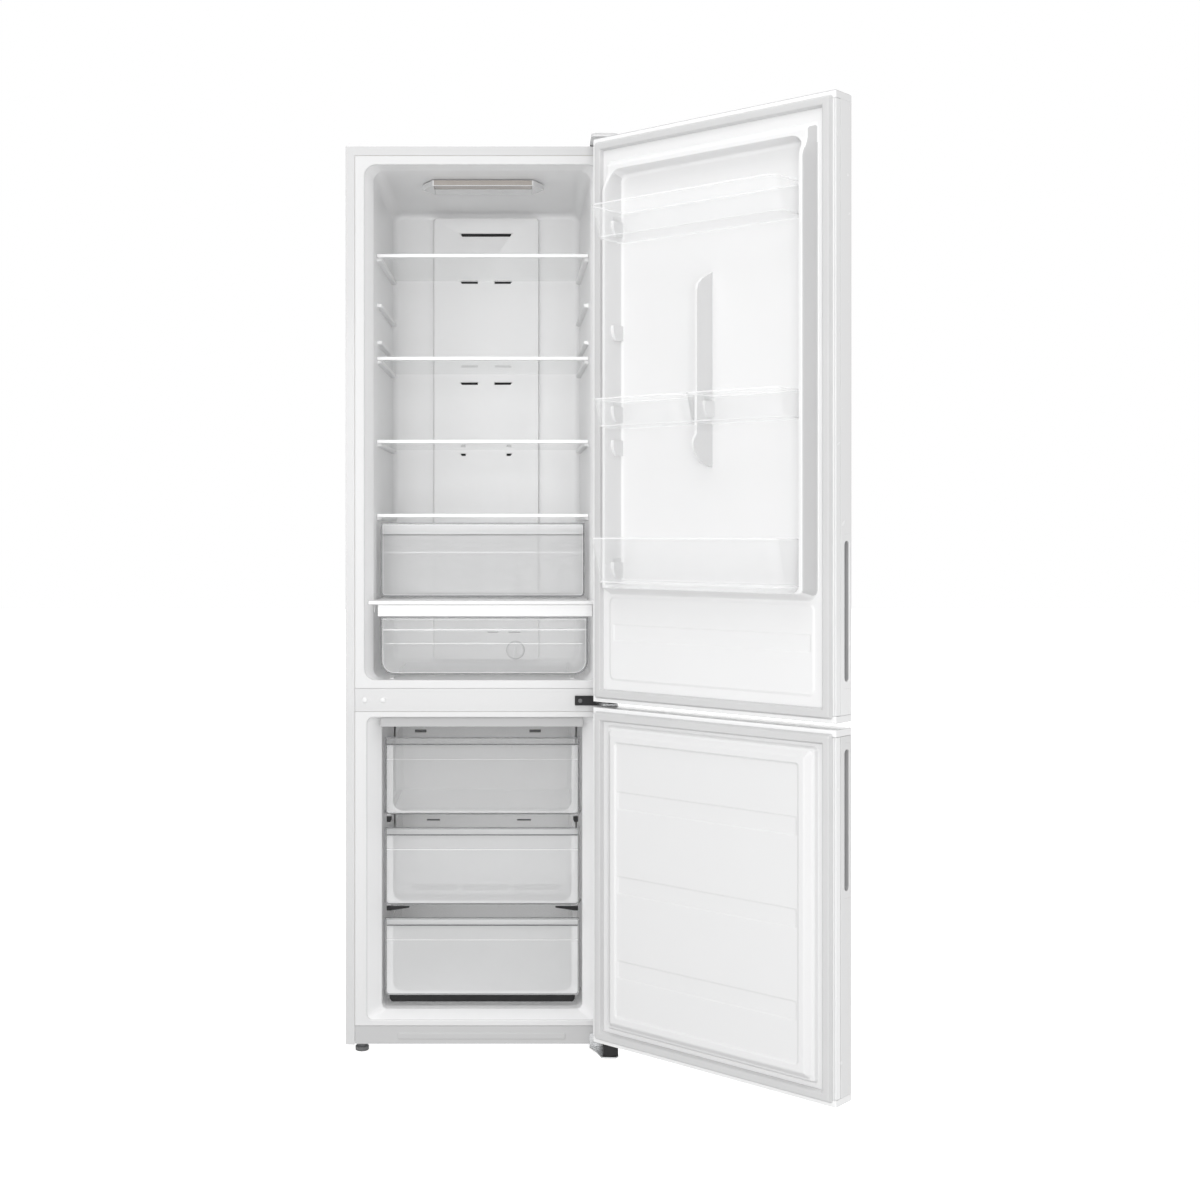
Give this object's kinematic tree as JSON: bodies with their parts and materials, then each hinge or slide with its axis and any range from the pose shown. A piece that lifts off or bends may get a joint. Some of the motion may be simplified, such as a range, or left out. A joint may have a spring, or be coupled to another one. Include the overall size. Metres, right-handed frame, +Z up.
{
  "type": "bottom freezer refrigerator",
  "caption": "Tall white two-door refrigerator with the freezer below, doors standing open on right-hand hinges, glass shelves, clear drawers and door bins.",
  "frame": {"origin": "on the floor, at the bottom centre of the box round the part with both doors open 137.9 degrees; the cabinet centre line is at X = -0.2109 m and the cabinet front face at Y = -0.0318 m", "axes": "+Z up; -Y out of the front of the cabinet, towards the person who opens it; +X to that person's right, the side the doors are hung on"},
  "size_m": [1.0168, 1.0724, 2.003],
  "materials": {
    "case_white": "satin",
    "abs_white": "satin",
    "clear_plastic": "gloss",
    "shelf_glass": "gloss",
    "steel": "satin",
    "black_plastic": "matte",
    "black_steel": "satin",
    "seal": "matte",
    "foam": "matte",
    "fin_aluminium": "satin",
    "grip_grey": "matte",
    "roller_grey": "matte",
    "foot_grey": "matte",
    "lamp_lens": "gloss"
  },
  "bodies": {
    "cabinet": {"outer_case": "case_white", "rear_panel": "case_white", "middle_crossbar": "case_white", "top_hinge_cover": "case_white", "hinge_hole_cap": "case_white", "fridge_liner": "abs_white", "freezer_liner": "abs_white", "plinth": "abs_white", "freezer_rear_wall": "abs_white", "air_duct": "abs_white", "lamp_housing": "abs_white", "crisper_shelf": "abs_white", "base_plate": "steel", "top_hinge": "steel", "middle_hinge": "steel", "bottom_hinge": "steel", "middle_hinge_cover": "black_plastic", "bottom_hinge_bush": "black_plastic", "mains_inlet": "black_plastic", "fan_motor": "black_plastic", "compressor": "black_steel", "compressor_cover": "black_steel", "cabinet_insulation": "foam", "evaporator": "fin_aluminium", "lamp_lens": "lamp_lens"},
    "upper_door": {"upper_door_skin": "case_white", "upper_door_top_cap": "abs_white", "upper_door_bottom_cap": "abs_white", "upper_door_grip": "grip_grey", "upper_door_liner": "abs_white", "upper_door_gasket": "seal"},
    "lower_door": {"lower_door_skin": "case_white", "lower_door_top_cap": "abs_white", "lower_door_bottom_cap": "abs_white", "lower_door_grip": "grip_grey", "lower_door_liner": "abs_white", "lower_door_gasket": "seal"},
    "bin_top": {"door_bin_top": "clear_plastic"},
    "bin_middle_left": {"door_bin_middle_left": "clear_plastic"},
    "bin_middle_right": {"door_bin_middle_right": "clear_plastic"},
    "bin_bottom": {"door_bin_bottom": "clear_plastic"},
    "shelf_1": {"glass_shelf_1": "shelf_glass", "shelf_trim_1": "abs_white"},
    "shelf_2": {"glass_shelf_2": "shelf_glass", "shelf_trim_2": "abs_white"},
    "shelf_3": {"glass_shelf_3": "shelf_glass", "shelf_trim_3": "abs_white"},
    "shelf_4": {"glass_shelf_4": "shelf_glass", "shelf_trim_4": "abs_white"},
    "upper_crisper": {"upper_crisper_drawer": "clear_plastic"},
    "lower_crisper": {"lower_crisper_drawer": "clear_plastic"},
    "freezer_top_drawer": {"freezer_drawer_top": "clear_plastic"},
    "freezer_middle_drawer": {"freezer_drawer_middle": "clear_plastic"},
    "freezer_bottom_drawer": {"freezer_drawer_bottom": "clear_plastic"},
    "dial": {"chill_dial": "abs_white"},
    "fan_rotor": {"fan": "abs_white"},
    "foot_left": {"levelling_foot_left": "foot_grey"},
    "foot_right": {"levelling_foot_right": "foot_grey"},
    "roller_left": {"rear_roller_left": "roller_grey"},
    "roller_right": {"rear_roller_right": "roller_grey"}
  },
  "joints": [
    {"name": "upper_door_hinge", "type": "hinge", "parent": "cabinet", "child": "upper_door", "pos_m": [0.0721, -0.0898, 1.38], "axis": [0, 0, 1], "range_deg": [-137.9, 0]},
    {"name": "lower_door_hinge", "type": "hinge", "parent": "cabinet", "child": "lower_door", "pos_m": [0.0721, -0.0898, 0.411], "axis": [0, 0, 1], "range_deg": [-137.9, 0]},
    {"name": "bin_top_lift", "type": "slide", "parent": "upper_door", "child": "bin_top", "axis": [0, 0, 1], "range_m": [0, 0.03]},
    {"name": "bin_middle_left_lift", "type": "slide", "parent": "upper_door", "child": "bin_middle_left", "axis": [0, 0, 1], "range_m": [0, 0.03]},
    {"name": "bin_middle_right_lift", "type": "slide", "parent": "upper_door", "child": "bin_middle_right", "axis": [0, 0, 1], "range_m": [0, 0.03]},
    {"name": "bin_bottom_lift", "type": "slide", "parent": "upper_door", "child": "bin_bottom", "axis": [0, 0, 1], "range_m": [0, 0.03]},
    {"name": "shelf_1_slide", "type": "slide", "parent": "cabinet", "child": "shelf_1", "axis": [0, -1, 0], "range_m": [0, 0.2]},
    {"name": "shelf_2_slide", "type": "slide", "parent": "cabinet", "child": "shelf_2", "axis": [0, -1, 0], "range_m": [0, 0.2]},
    {"name": "shelf_3_slide", "type": "slide", "parent": "cabinet", "child": "shelf_3", "axis": [0, -1, 0], "range_m": [0, 0.2]},
    {"name": "shelf_4_slide", "type": "slide", "parent": "cabinet", "child": "shelf_4", "axis": [0, -1, 0], "range_m": [0, 0.2]},
    {"name": "upper_crisper_slide", "type": "slide", "parent": "cabinet", "child": "upper_crisper", "axis": [0, -1, 0], "range_m": [0, 0.27]},
    {"name": "lower_crisper_slide", "type": "slide", "parent": "cabinet", "child": "lower_crisper", "axis": [0, -1, 0], "range_m": [0, 0.25]},
    {"name": "freezer_top_slide", "type": "slide", "parent": "cabinet", "child": "freezer_top_drawer", "axis": [0, -1, 0], "range_m": [0, 0.26]},
    {"name": "freezer_middle_slide", "type": "slide", "parent": "cabinet", "child": "freezer_middle_drawer", "axis": [0, -1, 0], "range_m": [0, 0.26]},
    {"name": "freezer_bottom_slide", "type": "slide", "parent": "cabinet", "child": "freezer_bottom_drawer", "axis": [0, -1, 0], "range_m": [0, 0.22]},
    {"name": "dial_turn", "type": "hinge", "parent": "cabinet", "child": "dial", "pos_m": [-0.1379, 0.4402, 0.847], "axis": [0, -1, 0], "range_deg": [-135, 135]},
    {"name": "fan_spin", "type": "hinge", "parent": "cabinet", "child": "fan_rotor", "pos_m": [-0.2109, 0.3902, 0.605], "axis": [0, -1, 0], "continuous": true},
    {"name": "foot_left_turn", "type": "hinge", "parent": "cabinet", "child": "foot_left", "pos_m": [-0.4749, -0.0018, 0.012], "axis": [0, 0, 1], "continuous": true},
    {"name": "foot_right_turn", "type": "hinge", "parent": "cabinet", "child": "foot_right", "pos_m": [0.0531, -0.0018, 0.012], "axis": [0, 0, 1], "continuous": true},
    {"name": "roller_left_roll", "type": "hinge", "parent": "cabinet", "child": "roller_left", "pos_m": [-0.4729, 0.4932, 0.015], "axis": [1, 0, 0], "continuous": true},
    {"name": "roller_right_roll", "type": "hinge", "parent": "cabinet", "child": "roller_right", "pos_m": [0.0511, 0.4932, 0.015], "axis": [1, 0, 0], "continuous": true}
  ]
}
